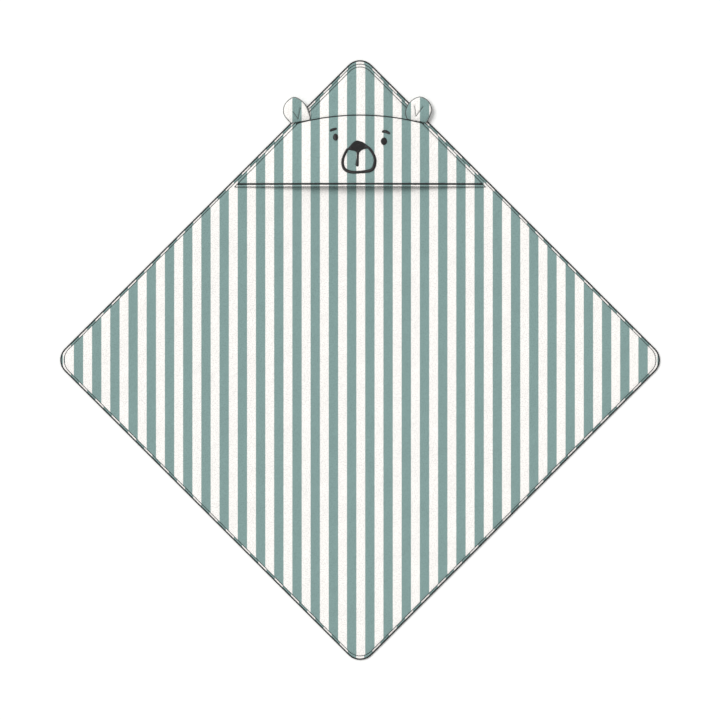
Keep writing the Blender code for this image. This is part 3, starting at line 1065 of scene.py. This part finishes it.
def swell(piece, pinned, frames=20):
    """Blows a closed piece up a little with the cloth simulation, and applies it."""
    before = positions(piece.data)
    group = piece.vertex_groups.new(name="sewn")
    group.add([int(i) for i in np.flatnonzero(pinned(before))], 1.0, "REPLACE")
    cloth = piece.modifiers.new("wadding", "CLOTH")
    cloth.settings.vertex_group_mass = group.name
    cloth.settings.use_pressure = True
    cloth.settings.uniform_pressure_force = 4.0
    cloth.settings.mass = 0.1
    cloth.settings.effector_weights.gravity = 0.0
    cloth.point_cache.frame_end = frames
    for frame_number in range(1, frames + 1):
        scene.frame_set(frame_number)
    swollen = piece.evaluated_get(bpy.context.evaluated_depsgraph_get()).data
    moved = positions(swollen) - before
    piece.modifiers.remove(cloth)
    piece.vertex_groups.remove(group)
    scene.frame_set(1)
    length = np.linalg.norm(moved, axis=1, keepdims=True)
    moved *= np.minimum(1, EAR_SWELL / np.maximum(length, 1e-9))
    piece.data.vertices.foreach_set("co", (before + moved).ravel())
    piece.data.update()
    print(f"{piece.name}: swelled by up to {length.max() * 1000:.1f} mm before the cap")


def apply_modifiers(piece):
    """Replaces a piece's mesh with what its modifiers make of it."""
    evaluated = piece.evaluated_get(bpy.context.evaluated_depsgraph_get())
    made = bpy.data.meshes.new_from_object(evaluated)
    piece.modifiers.clear()
    piece.data = made


def ear_middle(side):
    """A function for the height of the ear's mid-plane, which dips where it is sewn and at its tip."""
    at, out = ear_hinge(side)
    level = joint(f"{side}_ear_fold")["pos_m"][2]

    def height(x, y):
        away = (x - at.x) * out.x + (y - at.y) * out.y
        root = EAR_ROOT_DROP * near_line(away, 0.010)
        return level - root - EAR_TIP_DROP * smoothstep((away - 0.015) / 0.03)

    return height


def ear_outline(side):
    """The solid ear's outline from above, with a tail along its base that goes into the crown seam."""
    at, out = ear_hinge(side)
    outline = outline_of(f"ear_{side}_front", f"ear_{side}_edge_stitch")
    tail = [p - out * EAR_TAIL for p in outline if (p - at).dot(out) < EAR_TAIL]
    return hull([*outline, *tail])


def make_ear(side):
    """The padded ear, still without its tuck."""
    outline = ear_outline(side)
    middle = ear_middle(side)
    xs, ys = [p.x for p in outline], [p.y for p in outline]
    bm = flat_grid((min(xs), min(ys)), (max(xs), max(ys)), EAR_CELL)
    for a, b in zip(outline, outline[1:] + outline[:1]):
        if (b - a).length > 1e-6:
            outside = Vector((b.y - a.y, a.x - b.x)).normalized()
            cut(bm, a - outside * EAR_CORD / 2, outside)

    def half_thick(x, y):
        inset = inside_outline(x, y, outline) - EAR_CORD / 2
        return EAR_PINCH + EAR_PUFF * np.sqrt(1 - (1 - np.clip(inset / EAR_PUFF_REACH, 0, 1)) ** 2)

    def under(x, y):
        return middle(x, y) - half_thick(x, y)

    def over(x, y):
        return middle(x, y) + half_thick(x, y)

    layers = [f"ear_{side}_front", f"ear_{side}_back"]
    piece = add_piece(f"ear_{side}", close_sheet(bm, under, over), terry, layers)
    remesh = piece.modifiers.new("even_faces", "REMESH")
    remesh.mode = "VOXEL"
    remesh.voxel_size = EAR_VOXEL
    apply_modifiers(piece)
    swell(piece, lambda at: inside_outline(at[:, 0], at[:, 1], outline) < EAR_PINNED)
    smoother = piece.modifiers.new("finer", "SUBSURF")
    smoother.levels = smoother.render_levels = 1
    apply_modifiers(piece)
    return piece, outline


ears = {side: make_ear(side) for side in ("left", "right")}
for piece, outline in ears.values():
    report(piece)

# %% [markdown]
# The tuck is a small V that pulls the front of the ear in. Each point near its two legs moves down, and the
# loops go on top. Then the thread of the tuck is laid at the height of the finished surface, which a ray
# from above finds.


# %% Ear tucks and threads
def distance_to_path(x, y, path):
    """The distance of points in the plane from a path."""
    nearest = np.full(np.shape(x), np.inf)
    for a, b in zip(path, path[1:]):
        run = b - a
        t = np.clip(((x - a.x) * run.x + (y - a.y) * run.y) / run.length_squared, 0, 1)
        nearest = np.minimum(nearest, np.hypot(x - a.x - t * run.x, y - a.y - t * run.y))
    return nearest


def surface_of(piece):
    """A function for the height of a piece's upper side."""
    mesh = piece.data
    tree = BVHTree.FromPolygons([v.co for v in mesh.vertices], [p.vertices[:] for p in mesh.polygons])
    above = 0.1

    def height(x, y):
        hits = (tree.ray_cast(Vector((a, b, above)), Vector((0, 0, -1)))[0] for a, b in zip(x, y))
        return np.array([hit.z for hit in hits])

    return height


TUCK_DEPTH = 0.0016
TUCK_WIDTH = 0.0016  # how far to each side of its legs it pulls
EAR_CUT_FROM = (0, -0.3)  # along the stripes and clear of the hem
EAR_TUCKS = {
    "left": in_box("ear_left_tuck_stitch", (0.02, 0.60), (0.65, 0.03), (0.97, 0.98)),
    "right": in_box("ear_right_tuck_stitch", (0.03, 0.93), (0.16, 0.04), (0.90, 0.82)),
}
for side, (piece, outline) in ears.items():
    places = positions(piece.data)
    x, y, z = places.T
    middle = ear_middle(side)(x, y)
    is_front = z > middle
    tuck = np.exp(-((distance_to_path(x, y, EAR_TUCKS[side]) / TUCK_WIDTH) ** 2))
    edge = smoothstep(inside_outline(x, y, outline) / 0.006)
    places[:, 2] -= np.where(is_front, TUCK_DEPTH * tuck * edge, 0)
    places[:, 2] += np.where(is_front, 1, -1) * 0.5 * PILE * edge * (1 - 0.8 * tuck) * pile(x, y, 40)
    piece.data.vertices.foreach_set("co", places.ravel())
    map_flat(piece.data, EAR_CUT_FROM)
    piece.data.shade_smooth()

    on_ear = surface_of(piece)
    path, thick = EAR_TUCKS[side], THREAD_THICK
    mesh = stitch_row(path, lambda a, b: on_ear(a, b) + 0.0002, TUCK_STITCH, TUCK_STITCH, thick, thick)
    tuck_row = add_piece(f"ear_{side}_tuck_row", mesh, grey_thread, [f"ear_{side}_tuck_stitch"])

    at, out = ear_hinge(side)
    along = Vector((out.y, -out.x))
    first = max(range(len(outline)), key=lambda i: (outline[i] - at).dot(along - 3 * out))
    rim = [p for p in outline[first:] + outline[:first] if (p - at).dot(out) > -EAR_TAIL * 0.9]
    mesh = stitch_row(rim, ear_middle(side), EAR_CORD_STEP, EAR_CORD * 1.2, EAR_CORD, EAR_CORD, slant=0.8)
    edge_row = add_piece(f"ear_{side}_edge_cord", mesh, grey_thread, [f"ear_{side}_edge_stitch"])
    for part in (piece, tuck_row, edge_row):
        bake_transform(part)
        report(part)
